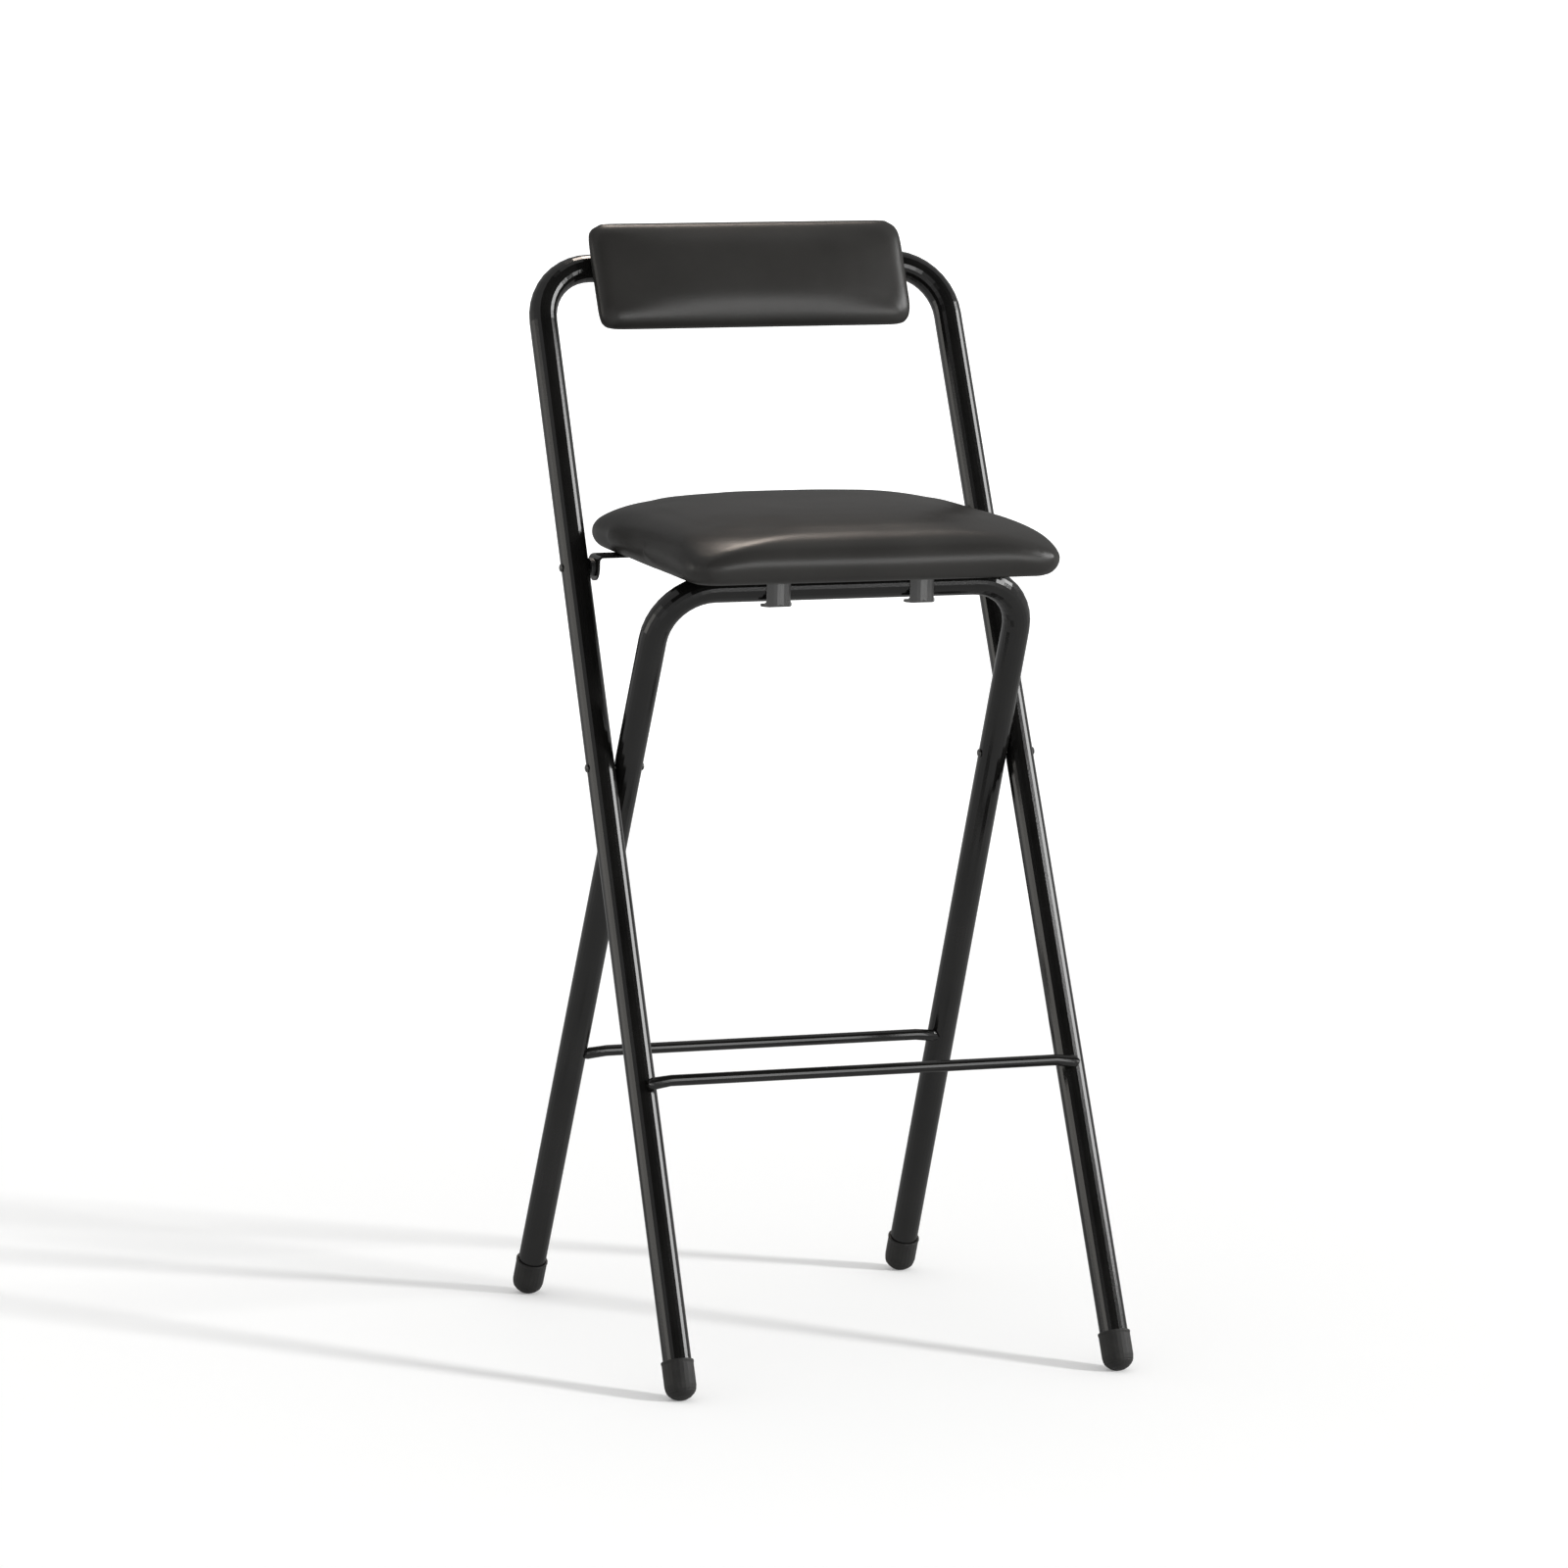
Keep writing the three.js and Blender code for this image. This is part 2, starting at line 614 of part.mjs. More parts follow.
function hookWallProfile() {
  const lipEnd = hookLipLead + hookLip / 2;
  const lipMiddle = hookBase + hookLip / 2;
  const side = new THREE.Shape();
  side.moveTo(lipEnd, hookBase);
  side.lineTo(hookNose - hookFillet, hookBase);
  side.absarc(hookNose - hookFillet, hookBase + hookFillet, hookFillet, -quarterTurn, 0, false);
  side.lineTo(hookNose, hookTop);
  side.lineTo(hookInside, hookTop);
  side.lineTo(hookInside, hookFillet - hookInside);
  side.absarc(hookInside - hookFillet, hookFillet - hookInside, hookFillet, 0, -quarterTurn, true);
  side.lineTo(lipEnd, -hookInside);
  side.absarc(lipEnd, lipMiddle, hookLip / 2, quarterTurn, 3 * quarterTurn, false);
  const wall = new THREE.ExtrudeGeometry(side, {
    depth: hookWidth,
    bevelEnabled: false,
    curveSegments: filletSteps,
  });
  return wall.rotateX(quarterTurn).rotateZ(-quarterTurn).translate(hookWidth / 2, 0, 0);
}

// The hook seen from above: straight sides and a round nose
function hookNoseProfile() {
  const half = hookWidth / 2;
  const nose = new THREE.Shape();
  nose.moveTo(half, 0);
  nose.lineTo(half, hookNose - half);
  nose.absarc(0, hookNose - half, half, 0, 2 * quarterTurn, false);
  nose.lineTo(-half, 0);
  const column = new THREE.ExtrudeGeometry(nose, {
    depth: hookTop - hookBase + 2 * cutOverrun,
    bevelEnabled: false,
    curveSegments: cornerSteps,
  });
  return column.rotateX(2 * quarterTurn).translate(0, 0, hookTop + cutOverrun);
}

function seatHook() {
  const half = hookWidth / 2;
  const front = -hookNose - hookFlangeLength;
  const corners = [
    new THREE.Vector2(-half, front),
    new THREE.Vector2(half, front),
    new THREE.Vector2(half, -hookInside),
    new THREE.Vector2(-half, -hookInside),
  ];
  const outline = roundedOutline(corners, [hookFlangeCorner, hookFlangeCorner, hookFillet, hookFillet]);
  const flange = prism(outline, hookFlangeThickness).translate(0, 0, hookTop - hookFlangeThickness);
  const drills = sides.map(([, sign]) =>
    rod(
      screwShank + holeClearance,
      hookFlangeThickness + cutOverrun,
      "z",
      (sign * hookScrewSpacing) / 2,
      -hookNose - hookScrewLead,
      hookTop - hookFlangeThickness / 2,
    ),
  );
  return cut(join(common(hookWallProfile(), hookNoseProfile()), flange), ...drills);
}

for (const [side, sign] of sides) {
  const hook = seatHook().translate((sign * hookSpacing) / 2, -barAhead, barLevel);
  piece(seat, `seat_hook_${side}`, hook, "plastic");
}

// Seat board and cushion share one outline: a rounded trapezoid, narrower behind
const seatFrontReach = barAhead + seatFrontOverhang;
const seatCorners = [
  new THREE.Vector2(-seatFrontWidth / 2, -seatFrontReach),
  new THREE.Vector2(seatFrontWidth / 2, -seatFrontReach),
  new THREE.Vector2(seatRearWidth / 2, seatRearOverhang),
  new THREE.Vector2(-seatRearWidth / 2, seatRearOverhang),
];
const seatForm = {
  corners: [seatFrontCorner, seatFrontCorner, seatRearCorner, seatRearCorner],
  shoulderCorners: [
    seatFrontShoulderCorner,
    seatFrontShoulderCorner,
    seatRearShoulderCorner,
    seatRearShoulderCorner,
  ],
  board: seatBoardThickness,
  boardInset: seatBoardInset,
  drawIn: seatDrawIn,
  edge: seatEdgeHeight,
  rise: seatShoulderRise,
  shoulderInset: seatShoulderInset,
  crown: seatCrown,
};
const seatScrewHoles = bracketScrews.map((x) => [x, 0]);
for (const [, hookSign] of sides) {
  for (const [, screwSign] of sides) {
    const x = (hookSign * hookSpacing) / 2 + (screwSign * hookScrewSpacing) / 2;
    seatScrewHoles.push([x, -barAhead - hookNose - hookScrewLead]);
  }
}
const pilotDepth = screwBite + screwShank;
const seatPilots = seatScrewHoles.map(([x, y]) =>
  rod(screwShank + holeClearance, 2 * pilotDepth, "z", x, y, boardBase),
);
const seatBoard = cushionBoard(seatCorners, seatForm).translate(0, 0, boardBase);
piece(seat, "seat_board", cut(seatBoard, ...seatPilots), "board");
piece(seat, "seat_cushion", cushion(seatCorners, seatForm).translate(0, 0, boardBase), "leather");

// Screws from below: four through the strip, two through each hook's flange
function boardScrew(x, y, seatBelow) {
  const shape = screw(screwShank, screwHead, screwDome, boardBase - seatBelow + screwBite);
  return shape.rotateX(quarterTurn).translate(x, y, seatBelow);
}

bracketScrews.forEach((x, i) => {
  piece(seat, `bracket_screw_${i + 1}`, boardScrew(x, 0, stripBase - seatingGap), "steel");
});
const flangeBase = boardBase - seatingGap - hookFlangeThickness;
seatScrewHoles.slice(bracketScrews.length).forEach(([x, y], i) => {
  piece(seat, `hook_screw_${i + 1}`, boardScrew(x, y, flangeBase - seatingGap), "steel");
});

// Backrest: its group stands on the back frame's front face, with Z out of the pad's front
const backrest = new THREE.Group();
backrest.position.set(0, -tubeRadius - seatingGap, backTube.top - padDrop);
backrest.rotation.x = quarterTurn;
backFrame.add(backrest);
const padCorners = [
  new THREE.Vector2(-padWidth / 2, -padHeight / 2),
  new THREE.Vector2(padWidth / 2, -padHeight / 2),
  new THREE.Vector2(padWidth / 2, padHeight / 2),
  new THREE.Vector2(-padWidth / 2, padHeight / 2),
];
const padForm = {
  corners: padCorners.map(() => padCorner),
  shoulderCorners: padCorners.map(() => padShoulderCorner),
  board: padBoardThickness,
  boardInset: padBoardInset,
  drawIn: padDrawIn,
  edge: padEdgeHeight,
  rise: padShoulderRise,
  shoulderInset: padShoulderInset,
  crown: padCrown,
};
const padScrews = sides.map(([, sign]) => (sign * padScrewSpacing) / 2);
const padPilots = padScrews.map((x) =>
  rod(padScrewShank + holeClearance, 2 * pilotDepth, "z", x, padDrop, 0),
);
piece(backrest, "backrest_board", cut(cushionBoard(padCorners, padForm), ...padPilots), "board");
piece(backrest, "backrest_pad", cushion(padCorners, padForm), "leather");
const padScrewSeat = -2 * tubeRadius - 2 * seatingGap;
padScrews.forEach((x, i) => {
  const shape = screw(padScrewShank, padScrewHead, padScrewDome, screwBite - padScrewSeat);
  piece(backrest, `backrest_screw_${i + 1}`, shape.rotateX(quarterTurn).translate(x, padDrop, padScrewSeat), "steel");
});

for (const mesh of meshes) mesh.geometry.computeVertexNormals();

export default stool;
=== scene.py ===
# Folding bar stool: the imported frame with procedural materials, padded cushions, studio light and camera.
# Metres, the frame of the CAD model: +Z up, the sitter faces -Y, the origin on the floor.

import json
import math

import bmesh
import bpy
from mathutils import Matrix, Vector


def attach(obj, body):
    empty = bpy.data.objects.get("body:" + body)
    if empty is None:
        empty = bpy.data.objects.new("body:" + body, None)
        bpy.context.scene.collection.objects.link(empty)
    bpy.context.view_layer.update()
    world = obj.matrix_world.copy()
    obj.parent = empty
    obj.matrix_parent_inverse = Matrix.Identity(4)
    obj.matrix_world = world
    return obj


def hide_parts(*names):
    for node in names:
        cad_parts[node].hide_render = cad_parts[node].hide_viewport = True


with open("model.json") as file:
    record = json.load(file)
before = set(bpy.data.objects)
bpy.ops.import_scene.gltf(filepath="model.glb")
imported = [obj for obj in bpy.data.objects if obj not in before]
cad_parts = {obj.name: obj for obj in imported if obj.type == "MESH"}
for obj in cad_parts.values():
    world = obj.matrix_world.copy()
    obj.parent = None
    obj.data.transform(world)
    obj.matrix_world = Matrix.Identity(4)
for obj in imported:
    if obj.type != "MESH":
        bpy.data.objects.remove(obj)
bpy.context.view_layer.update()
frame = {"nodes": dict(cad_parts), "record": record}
nodes = frame["nodes"]
scene = bpy.context.scene

# Camera, fitted to the photograph
CAMERA_AZIMUTH = math.radians(-22.1399)
CAMERA_PITCH = math.radians(8.9531)
CAMERA_ROLL = math.radians(1.3278)
CAMERA_PLACE = Vector((-2.8252, -6.8619, 1.6622))
IMAGE_WIDTH = 1600
FOCAL_PIXELS = 8695.3
SENSOR = 36.0

# Soft boxes: name, degrees from +X, elevation, distance, width, height, watts, colour
AIM = Vector((0.0, 0.0, 0.5))
SOFT_BOXES = [
    ("right_box", -22.0, 22.0, 3.5, 2.2, 1.3, 165.0, (1.0, 1.0, 1.0)),
    ("left_box", 171.0, 9.0, 4.0, 3.2, 2.0, 55.0, (1.0, 0.97, 0.9)),
    ("top_box", 69.0, 59.0, 3.5, 0.85, 0.7, 92.0, (1.0, 0.87, 0.77)),
    ("front_box", -68.0, 6.0, 3.5, 2.6, 1.0, 60.0, (1.0, 1.0, 1.0)),
]
# The distant key light gives the long soft shadows on the floor
KEY_FROM = -42.0
KEY_ELEVATION = 23.0
KEY_SPREAD = 8.0
KEY_STRENGTH = 2.7

# A dark flag over the side of the camera: from and to degrees from +X, from and to elevation, distance, shade
FLAG = (-150.0, -30.0, 22.0, 80.0, 6.0, 0.03)
FLAG_STEPS = 16

# The world is white to the eye and in gloss, and lights the object at this level
WORLD_ON_OBJECT = 0.62

# Extra white that the eye and the gloss see on the floor: near the object and far behind it
FLOOR_LIFT_NEAR = 0.185
FLOOR_LIFT_FAR = 0.6
FLOOR_NEAR = 1.2
FLOOR_FAR = 5.0
FLOOR_REACH = 40.0

# Moulded and pressed pieces whose sharp edges are rounded by so much
SOFT_EDGES = {"seat_hook_left": 0.002, "seat_hook_right": 0.002, "seat_bracket": 0.0004}

# Angles over which an edge stays sharp, in degrees
SHARP_CAD = 35.0
SHARP_CUSHION = 50.0
SHARP_SOFT_EDGE = 40.0

# Cushions, heights over the base: the sides are full, the cloth is pinned below, its inset is full
FULL_AT = 0.008
PINNED_BELOW = 0.003
INSET_FULL_AT = 0.012

# Cushions: the cloth starts this much smaller and may swell about so far
START_INSET = 0.002
SWELL_CAP = 0.001

# Rounds of smoothing: of the rolled rim, of the sides' bulge and of the cloth's swelling
RIM_ROUNDS = 14
BULGE_ROUNDS = 10
SWELL_ROUNDS = 12

# The cloth under pressure
CLOTH_PRESSURE = 4.0
CLOTH_QUALITY = 6
CLOTH_MASS = 0.3
CLOTH_STIFFNESS = 40.0
CLOTH_BENDING = 10.0
CLOTH_STEPS = 20

# Room round the boards in the cushions' recesses, and how far the cut runs past the underside
RECESS_ROOM = 0.0004
RECESS_MOUTH = 0.005

# Points closer than this are one point after the cut
SLIVER = 0.00002

# The back frame's lean: its rise and run from the floor to the pivot
PIVOT_RISE = 0.513
PIVOT_RUN = 0.225 + 0.0179


def make_camera():
    a, e, r = CAMERA_AZIMUTH, CAMERA_PITCH, CAMERA_ROLL
    back = Vector((math.sin(a) * math.cos(e), -math.cos(a) * math.cos(e), math.sin(e)))
    level = Vector((math.cos(a), math.sin(a), 0.0))
    above = back.cross(level)
    right = math.cos(r) * level + math.sin(r) * above
    up = -math.sin(r) * level + math.cos(r) * above
    data = bpy.data.cameras.new("camera")
    data.sensor_width = SENSOR
    data.lens = FOCAL_PIXELS / IMAGE_WIDTH * SENSOR
    data.clip_end = 100.0
    camera = bpy.data.objects.new("camera", data)
    scene.collection.objects.link(camera)
    turn = Matrix((right, up, back)).transposed().to_4x4()
    camera.matrix_world = Matrix.Translation(CAMERA_PLACE) @ turn
    scene.camera = camera


def make_lamps():
    """Soft boxes that the gloss shows, and a distant key light for the shadows."""
    for name, towards, elevation, distance, width, height, watts, colour in SOFT_BOXES:
        away = direction(towards, elevation)
        data = bpy.data.lights.new(name, "AREA")
        data.shape = "RECTANGLE"
        data.size = width
        data.size_y = height
        data.energy = watts
        data.color = colour
        lamp = bpy.data.objects.new(name, data)
        scene.collection.objects.link(lamp)
        turn = away.to_track_quat("Z", "Y").to_matrix().to_4x4()
        lamp.matrix_world = Matrix.Translation(AIM + away * distance) @ turn
        lamp.visible_camera = False
        lamp.visible_diffuse = False
    data = bpy.data.lights.new("key", "SUN")
    data.angle = math.radians(KEY_SPREAD)
    data.energy = KEY_STRENGTH
    key = bpy.data.objects.new("key", data)
    scene.collection.objects.link(key)
    key.matrix_world = direction(KEY_FROM, KEY_ELEVATION).to_track_quat("Z", "Y").to_matrix().to_4x4()
    key.visible_glossy = False


def direction(towards, elevation):
    a, e = math.radians(towards), math.radians(elevation)
    return Vector((math.cos(a) * math.cos(e), math.sin(a) * math.cos(e), math.sin(e)))


def background_rays(tree):
    """1 for the rays that show the background: camera, glossy and transmission rays."""
    path = tree.nodes.new("ShaderNodeLightPath")
    found = path.outputs["Is Camera Ray"]
    for kind in ("Is Glossy Ray", "Is Transmission Ray"):
        either = tree.nodes.new("ShaderNodeMath")
        either.operation = "MAXIMUM"
        tree.links.new(found, either.inputs[0])
        tree.links.new(path.outputs[kind], either.inputs[1])
        found = either.outputs["Value"]
    return found


def make_world():
    world = bpy.data.worlds.new("studio")
    scene.world = world
    world.use_nodes = True
    tree = world.node_tree
    background = tree.nodes["Background"]
    background.inputs["Color"].default_value = (1.0, 1.0, 1.0, 1.0)
    strength = tree.nodes.new("ShaderNodeMix")
    strength.inputs["A"].default_value = WORLD_ON_OBJECT
    strength.inputs["B"].default_value = 1.0
    tree.links.new(background_rays(tree), strength.inputs["Factor"])
    tree.links.new(strength.outputs["Result"], background.inputs["Strength"])


def make_flag():
    """A dark card over the camera's side, as over any glossy black product: only the gloss sees it."""
    start, end, low, high, distance, shade = FLAG
    material = bpy.data.materials.new("flag_cloth")
    material.use_nodes = True
    shader = material.node_tree.nodes["Principled BSDF"]
    shader.inputs["Base Color"].default_value = (shade, shade, shade, 1.0)
    shader.inputs["Roughness"].default_value = 1.0
    steps = [i / FLAG_STEPS for i in range(FLAG_STEPS + 1)]
    points = [
        AIM + direction(start + (end - start) * a, low + (high - low) * b) * distance for b in steps for a in steps
    ]
    row = len(steps)
    corners = [j * row + i for j in range(FLAG_STEPS) for i in range(FLAG_STEPS)]
    data = bpy.data.meshes.new("flag")
    data.from_pydata(points, [], [(c, c + 1, c + row + 1, c + row) for c in corners])
    data.materials.append(material)
    flag = bpy.data.objects.new("flag", data)
    scene.collection.objects.link(flag)
    for rays in ("camera", "diffuse", "transmission", "volume_scatter", "shadow"):
        setattr(flag, "visible_" + rays, False)


# Shaders
class Shader:
    """A Principled material and the nodes that feed it."""

    def __init__(self, name, **constants):
        self.material = bpy.data.materials.new(name)
        self.material.use_nodes = True
        self.tree = self.material.node_tree
        self.shader = self.tree.nodes["Principled BSDF"]
        for socket, value in constants.items():
            self.shader.inputs[socket.replace("_", " ")].default_value = value
        self.place = self.node("ShaderNodeTexCoord").outputs["Object"]

    def node(self, kind, **settings):
        made = self.tree.nodes.new(kind)
        for key, value in settings.items():
            setattr(made, key, value)
        return made

    def link(self, source, target):
        self.tree.links.new(source, target)

    def noise(self, scale, detail=3.0, stretch=(1, 1, 1)):
        mapping = self.node("ShaderNodeMapping")
        mapping.inputs["Scale"].default_value = stretch
        self.link(self.place, mapping.inputs["Vector"])
        made = self.node("ShaderNodeTexNoise")
        made.inputs["Scale"].default_value = scale
        made.inputs["Detail"].default_value = detail
        self.link(mapping.outputs["Vector"], made.inputs["Vector"])
        return made.outputs["Fac"]

    def cells(self, scale):
        made = self.node("ShaderNodeTexVoronoi", feature="DISTANCE_TO_EDGE")
        made.inputs["Scale"].default_value = scale
        self.link(self.place, made.inputs["Vector"])
        return made.outputs["Distance"]

    def ramp(self, source, low, high, stops=(0.0, 1.0)):
        made = self.node("ShaderNodeValToRGB")
        for element, place, value in zip(made.color_ramp.elements, stops, (low, high)):
            element.position = place
            element.color = (*value, 1.0)
        self.link(source, made.inputs["Fac"])
        return made.outputs["Color"]

    def span(self, source, low, high, from_low=0.3, from_high=0.7):
        made = self.node("ShaderNodeMapRange")
        for socket, value in zip(("From Min", "From Max", "To Min", "To Max"), (from_low, from_high, low, high)):
            made.inputs[socket].default_value = value
        self.link(source, made.inputs["Value"])
        return made.outputs["Result"]

    def bump(self, source, distance, below=None):
        made = self.node("ShaderNodeBump")
        made.inputs["Distance"].default_value = distance
        self.link(source, made.inputs["Height"])
        if below:
            self.link(below, made.inputs["Normal"])
        return made.outputs["Normal"]

    def feed(self, **sockets):
        for socket, source in sockets.items():
            self.link(source, self.shader.inputs[socket.replace("_", " ")])
        return self.material


def paint_material():
    """Glossy black powder coat: a faint orange peel and slightly uneven gloss."""
    s = Shader("frame_paint", Specular_IOR_Level=0.0, Coat_Weight=0.3, Coat_Roughness=0.14, Coat_IOR=1.7)
    wear = s.noise(22.0, 4.0)
    peel = s.bump(s.noise(620.0, 2.0), 0.00003)
    return s.feed(
        Base_Color=s.ramp(wear, (0.004, 0.004, 0.0038), (0.008, 0.0078, 0.0074), (0.3, 0.7)),
        Roughness=s.span(wear, 0.3, 0.45),
        Normal=peel,
        Coat_Normal=peel,
    )


def leather_material():
    """Smooth black synthetic leather: fine pebbled grain, soft broad variation."""
    s = Shader("seat_leather", Specular_IOR_Level=0.0, Coat_Weight=0.15, Coat_Roughness=0.29, Coat_IOR=1.8)
    soft = s.noise(14.0, 3.0)
    grain = s.bump(s.noise(1500.0, 2.0), 0.00002, below=s.bump(s.cells(900.0), 0.00006))
    return s.feed(
        Base_Color=s.ramp(soft, (0.0205, 0.0198, 0.0187), (0.0265, 0.0256, 0.0242), (0.3, 0.7)),
        Roughness=s.span(soft, 0.5, 0.58),
        Normal=grain,
        Coat_Normal=grain,
    )


def rubber_material():
    """Matte black rubber with a little dust."""
    s = Shader("foot_rubber", Specular_IOR_Level=0.2)
    dust = s.noise(90.0, 5.0)
    return s.feed(
        Base_Color=s.ramp(dust, (0.01, 0.0098, 0.0094), (0.018, 0.0176, 0.0168), (0.35, 0.7)),
        Roughness=s.span(dust, 0.55, 0.7),
        Normal=s.bump(s.noise(800.0, 3.0), 0.00006),
    )


def plastic_material(name, low, high, roughness):
    """Moulded plastic with a fine spark-eroded texture."""
    s = Shader(name, Specular_IOR_Level=0.45)
    mottle = s.noise(60.0, 4.0)
    return s.feed(
        Base_Color=s.ramp(mottle, low, high, (0.35, 0.65)),
        Roughness=s.span(mottle, roughness - 0.04, roughness + 0.06),
        Normal=s.bump(s.noise(1200.0, 2.0), 0.00003),
    )


def steel_material():
    """Blackened steel of the rivets and screws."""
    s = Shader("fastener_steel", Metallic=0.85)
    brushed = s.noise(260.0, 3.0)
    return s.feed(
        Base_Color=s.ramp(brushed, (0.03, 0.03, 0.03), (0.07, 0.069, 0.067), (0.35, 0.7)),
        Roughness=s.span(brushed, 0.3, 0.42),
        Normal=s.bump(brushed, 0.00002),
    )


def board_material():
    """Dark lining cloth over the undersides of the boards: a fine plain weave."""
    s = Shader("board_lining", Specular_IOR_Level=0.2)
    both = s.node("ShaderNodeMath", operation="MULTIPLY")
    for axis, socket in (("X", 0), ("Y", 1)):
        threads = s.node("ShaderNodeTexWave", wave_type="BANDS", bands_direction=axis)
        threads.inputs["Scale"].default_value = 320.0
        threads.inputs["Distortion"].default_value = 1.2
        s.link(s.place, threads.inputs["Vector"])
        s.link(threads.outputs["Fac"], both.inputs[socket])
    weave = both.outputs["Value"]
    return s.feed(
        Base_Color=s.ramp(weave, (0.012, 0.011, 0.01), (0.035, 0.033, 0.03)),
        Roughness=s.span(s.noise(40.0), 0.8, 0.95),
        Normal=s.bump(weave, 0.0001),
    )


def make_materials():
    return {
        "frame_paint": paint_material(),
        "seat_leather": leather_material(),
        "foot_rubber": rubber_material(),
        "hook_plastic": plastic_material("hook_plastic", (0.044, 0.044, 0.043), (0.057, 0.057, 0.056), 0.3),
        "washer_nylon": plastic_material("washer_nylon", (0.012, 0.012, 0.012), (0.02, 0.02, 0.02), 0.5),
        "fastener_steel": steel_material(),
        "board_wood": board_material(),
    }


def dress(materials):
    """Gives each CAD node the material of its slot and smooth shading on its curved faces."""
    for entry in frame["record"]["subparts"]:
        data = nodes[entry["node"]].data
        data.materials.clear()
        data.materials.append(materials[entry["material_slot"]])
        data.shade_smooth()
        data.set_sharp_from_angle(angle=math.radians(SHARP_CAD))
    for node, radius in SOFT_EDGES.items():
        soften(nodes[node], radius)


def soften(obj, radius):
    """Rounds the sharp edges of a moulded or pressed piece."""
    bevel = obj.modifiers.new("soft_edges", "BEVEL")
    bevel.width = radius
    bevel.segments = 4
    bevel.limit_method = "ANGLE"
    bevel.angle_limit = math.radians(SHARP_SOFT_EDGE)


def make_floor():
    """A pale floor that stays white to the eye and in gloss, and keeps the shadows."""
    material = bpy.data.materials.new("floor")
    material.use_nodes = True
    tree = material.node_tree
    shader = tree.nodes["Principled BSDF"]
    shader.inputs["Base Color"].default_value = (0.86, 0.86, 0.855, 1.0)
    shader.inputs["Roughness"].default_value = 0.9
    shader.inputs["Specular IOR Level"].default_value = 0.1
    shader.inputs["Emission Color"].default_value = (1.0, 1.0, 1.0, 1.0)
    place = tree.nodes.new("ShaderNodeTexCoord").outputs["Object"]
    away = tree.nodes.new("ShaderNodeVectorMath")
    away.operation = "LENGTH"
    tree.links.new(place, away.inputs[0])
    lift = tree.nodes.new("ShaderNodeMapRange")
    span = {"From Min": FLOOR_NEAR, "From Max": FLOOR_FAR, "To Min": FLOOR_LIFT_NEAR, "To Max": FLOOR_LIFT_FAR}
    for socket, value in span.items():
        lift.inputs[socket].default_value = value
    tree.links.new(away.outputs["Value"], lift.inputs["Value"])
    seen = tree.nodes.new("ShaderNodeMath")
    seen.operation = "MULTIPLY"
    tree.links.new(background_rays(tree), seen.inputs[0])
    tree.links.new(lift.outputs["Result"], seen.inputs[1])
    tree.links.new(seen.outputs["Value"], shader.inputs["Emission Strength"])
    data = bpy.data.meshes.new("floor")
    corners = [(x * FLOOR_REACH, y * FLOOR_REACH, 0.0) for x, y in ((-1, -1), (1, -1), (1, 1), (-1, 1))]
    data.from_pydata(corners, [], [(0, 1, 2, 3)])
    data.materials.append(material)
    floor = bpy.data.objects.new("floor", data)
    scene.collection.objects.link(floor)


# Padded pieces
def bake(obj):
    """Puts the result of the modifiers into the mesh."""
    graph = bpy.context.evaluated_depsgraph_get()
    result = bpy.data.meshes.new_from_object(obj.evaluated_get(graph))
    old = obj.data
    obj.modifiers.clear()
    obj.data = result
    bpy.data.meshes.remove(old)
    result.name = obj.name


def modify(obj, kind, **settings):
    made = obj.modifiers.new(kind.lower(), kind)
    for key, value in settings.items():
        setattr(made, key, value)
    bake(obj)


def close_recess(obj, normal):
    """Moves the recess's ceiling down to the base, so that the cushion is one full body. Returns the base's level."""
    bm = bmesh.new()
    bm.from_mesh(obj.data)
    bmesh.ops.remove_doubles(bm, verts=bm.verts, dist=1e-6)
    base = min(v.co.dot(normal) for v in bm.verts)
    ceiling = set()
    for face in bm.faces:
        if face.normal.dot(normal) < -0.99 and face.calc_center_median().dot(normal) > base + 0.001:
            ceiling.update(face.verts)
    for v in ceiling:
        v.co -= normal * (v.co.dot(normal) - base)
    bm.to_mesh(obj.data)
    bm.free()
    return base


def inflate(obj, pins):
    """Cloth under pressure, pinned round its base. Returns where each point goes."""
    group = obj.vertex_groups.new(name="pins")
    group.add(pins, 1.0, "REPLACE")
    cloth = obj.modifiers.new("cloth", "CLOTH")
    settings = cloth.settings
    settings.use_pressure = True
    settings.uniform_pressure_force = CLOTH_PRESSURE
    settings.effector_weights.gravity = 0.0
    settings.vertex_group_mass = "pins"
    settings.quality = CLOTH_QUALITY
    settings.mass = CLOTH_MASS
    settings.tension_stiffness = CLOTH_STIFFNESS
    settings.compression_stiffness = CLOTH_STIFFNESS
    settings.bending_stiffness = CLOTH_BENDING
    cloth.collision_settings.use_collision = False
    for step in range(1, CLOTH_STEPS + 1):
        scene.frame_set(step)
    bake(obj)
    scene.frame_set(1)
    return [v.co.copy() for v in obj.data.vertices]


def smoothed(values, data, rounds):
    """Averages a value per vertex with its neighbours' values, several times over."""
    edges = [tuple(edge.vertices) for edge in data.edges]
    for _ in range(rounds):
        total = list(values)
        count = [1] * len(values)
        for a, b in edges:
            total[a] += values[b]
            total[b] += values[a]
            count[a] += 1
            count[b] += 1
        values = [t / n for t, n in zip(total, count)]
    return values


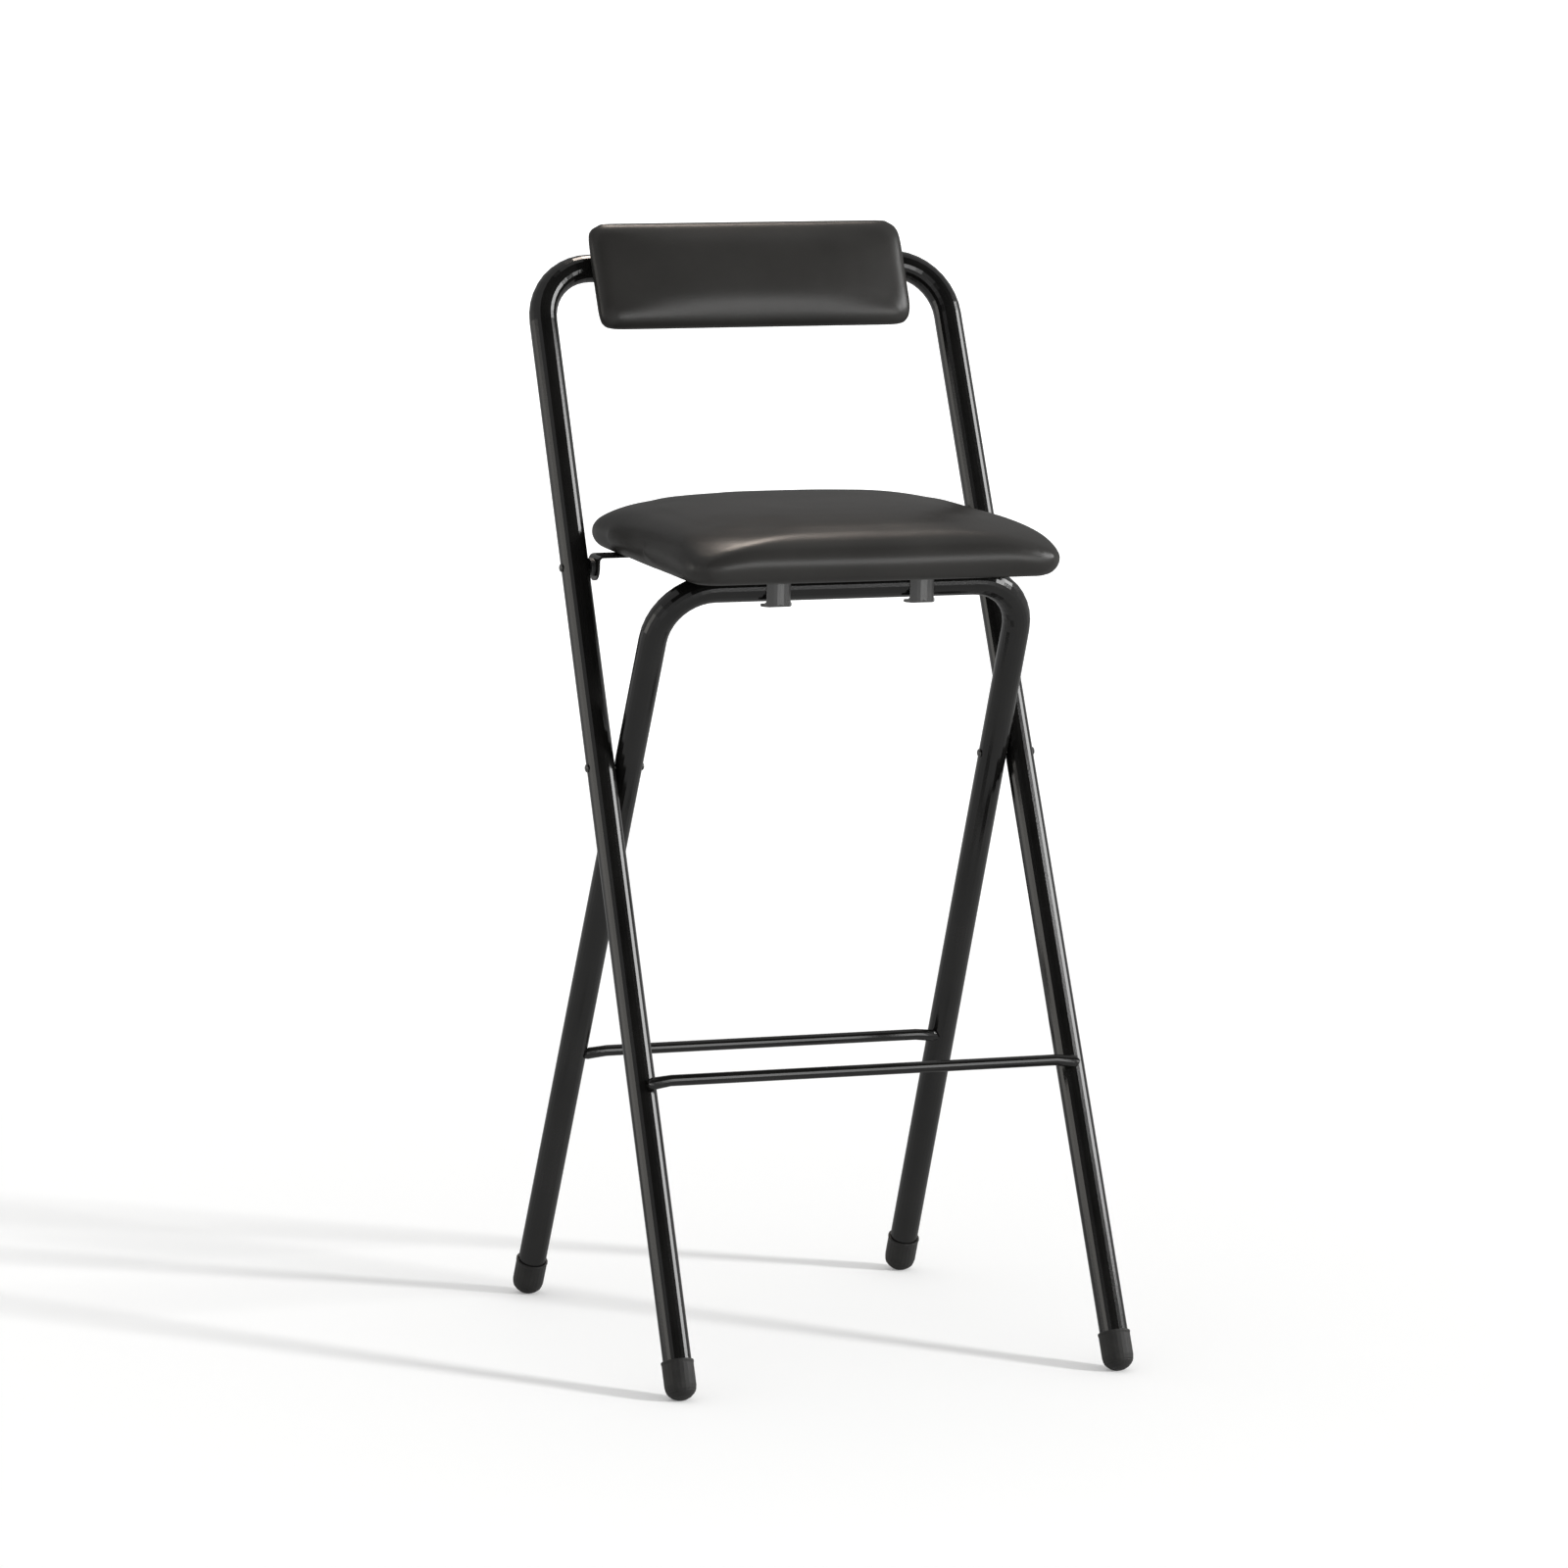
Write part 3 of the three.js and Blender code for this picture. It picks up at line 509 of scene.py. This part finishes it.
def cut_recess(obj, board, normal):
    """Cuts the recess that the board lies in, a little larger than the board and open below."""
    points = [v.co.copy() for v in nodes[board].data.vertices]
    centre = sum(points, Vector()) / len(points)
    bm = bmesh.new()
    for point in points:
        height = (point - centre).dot(normal)
        outward = point - centre - normal * height
        grown = point + outward.normalized() * RECESS_ROOM
        bm.verts.new(grown + normal * (RECESS_ROOM if height > 0 else -RECESS_MOUTH))
    bmesh.ops.remove_doubles(bm, verts=bm.verts, dist=1e-5)
    hull = bmesh.ops.convex_hull(bm, input=bm.verts)
    bmesh.ops.delete(bm, geom=list(set(hull["geom_interior"]) | set(hull["geom_unused"])), context="VERTS")
    bmesh.ops.recalc_face_normals(bm, faces=bm.faces)
    data = bpy.data.meshes.new("cutter")
    bm.to_mesh(data)
    bm.free()
    cutter = bpy.data.objects.new("cutter", data)
    scene.collection.objects.link(cutter)
    modify(obj, "BOOLEAN", operation="DIFFERENCE", object=cutter, solver="EXACT")
    bpy.data.objects.remove(cutter)
    drop_slivers(obj.data)


def drop_slivers(data):
    """Merges the hair-thin triangles that the cut leaves, and deletes faces back to back on the same points."""
    bm = bmesh.new()
    bm.from_mesh(data)
    bmesh.ops.triangulate(bm, faces=bm.faces)
    bmesh.ops.dissolve_degenerate(bm, edges=bm.edges, dist=SLIVER)
    bmesh.ops.remove_doubles(bm, verts=bm.verts, dist=SLIVER)
    found = {}
    for face in bm.faces:
        found.setdefault(frozenset(v.index for v in face.verts), []).append(face)
    twins = [face for faces in found.values() if len(faces) > 1 for face in faces]
    bmesh.ops.delete(bm, geom=twins, context="FACES")
    bm.to_mesh(data)
    bm.free()


def round_rim(obj, normal, base, height):
    """Rolls the lower rim under: smooths the points within a height of the base."""
    low = [v.index for v in obj.data.vertices if v.co.dot(normal) - base < height]
    group = obj.vertex_groups.new(name="rim")
    group.add(low, 1.0, "REPLACE")
    modify(obj, "SMOOTH", factor=0.5, iterations=RIM_ROUNDS, vertex_group="rim")


def fill_sides(obj, normal, base, bulge):
    """Pushes the sides out between the rim and the top, where foam under leather bulges."""
    data = obj.data
    outward = [v.normal.copy() for v in data.vertices]
    amounts = []
    for v, n in zip(data.vertices, outward):
        share = min(max((v.co.dot(normal) - base) / FULL_AT, 0.0), 1.0)
        amounts.append(bulge * share * (1 - abs(n.dot(normal))))
    for v, n, amount in zip(data.vertices, outward, smoothed(amounts, data, BULGE_ROUNDS)):
        v.co += n * amount


def padded_piece(name, node, board, body, normal, material, voxel, rim, bulge, pillow):
    """The CAD cushion as its own piece: remeshed, rounded, inflated as cloth, with its board's recess cut again."""
    obj = bpy.data.objects.new(name, nodes[node].data.copy())
    scene.collection.objects.link(obj)
    base = close_recess(obj, normal)
    shape = obj.copy()
    shape.data = obj.data.copy()
    scene.collection.objects.link(shape)
    modify(obj, "REMESH", mode="VOXEL", voxel_size=voxel)
    for _ in range(2):
        modify(obj, "SMOOTH", factor=0.5, iterations=3)
        modify(obj, "SHRINKWRAP", target=shape, wrap_method="NEAREST_SURFACEPOINT")
    bpy.data.objects.remove(shape)
    round_rim(obj, normal, base, rim)
    fill_sides(obj, normal, base, bulge)
    modify(obj, "SMOOTH", factor=0.5, iterations=pillow)
    data = obj.data
    targets = [v.co.copy() for v in data.vertices]
    outward = [v.normal.copy() for v in data.vertices]
    pins = [v.index for v in data.vertices if v.co.dot(normal) - base < PINNED_BELOW]
    for v, n in zip(data.vertices, outward):
        height = v.co.dot(normal) - base
        v.co -= n * START_INSET * min(max(height / INSET_FULL_AT, 0.0), 1.0)
    moved = inflate(obj, pins)
    data = obj.data
    swelling = [SWELL_CAP * math.tanh((m - t).dot(n) / SWELL_CAP) for m, t, n in zip(moved, targets, outward)]
    for v, target, n, amount in zip(data.vertices, targets, outward, smoothed(swelling, data, SWELL_ROUNDS)):
        v.co = target + n * amount
    modify(obj, "SUBSURF", levels=1)
    cut_recess(obj, board, normal)
    data = obj.data
    data.materials.clear()
    data.materials.append(material)
    data.shade_smooth()
    data.set_sharp_from_angle(angle=math.radians(SHARP_CUSHION))
    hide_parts(node)
    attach(obj, body)


scene.view_settings.view_transform = "Standard"
make_camera()
make_lamps()
make_world()
make_flag()
make_floor()
materials = make_materials()
dress(materials)
lean = math.atan2(PIVOT_RUN, PIVOT_RISE)
pad_front = Vector((0.0, -math.cos(lean), math.sin(lean)))
padded_piece(
    "seat_cushion_leather", "seat_cushion", "seat_board", "seat", Vector((0.0, 0.0, 1.0)), materials["seat_leather"],
    voxel=0.004, rim=0.010, bulge=0.0095, pillow=8,
)
padded_piece(
    "backrest_pad_leather", "backrest_pad", "backrest_board", "back_frame", pad_front, materials["seat_leather"],
    voxel=0.003, rim=0.005, bulge=0.0065, pillow=20,
)
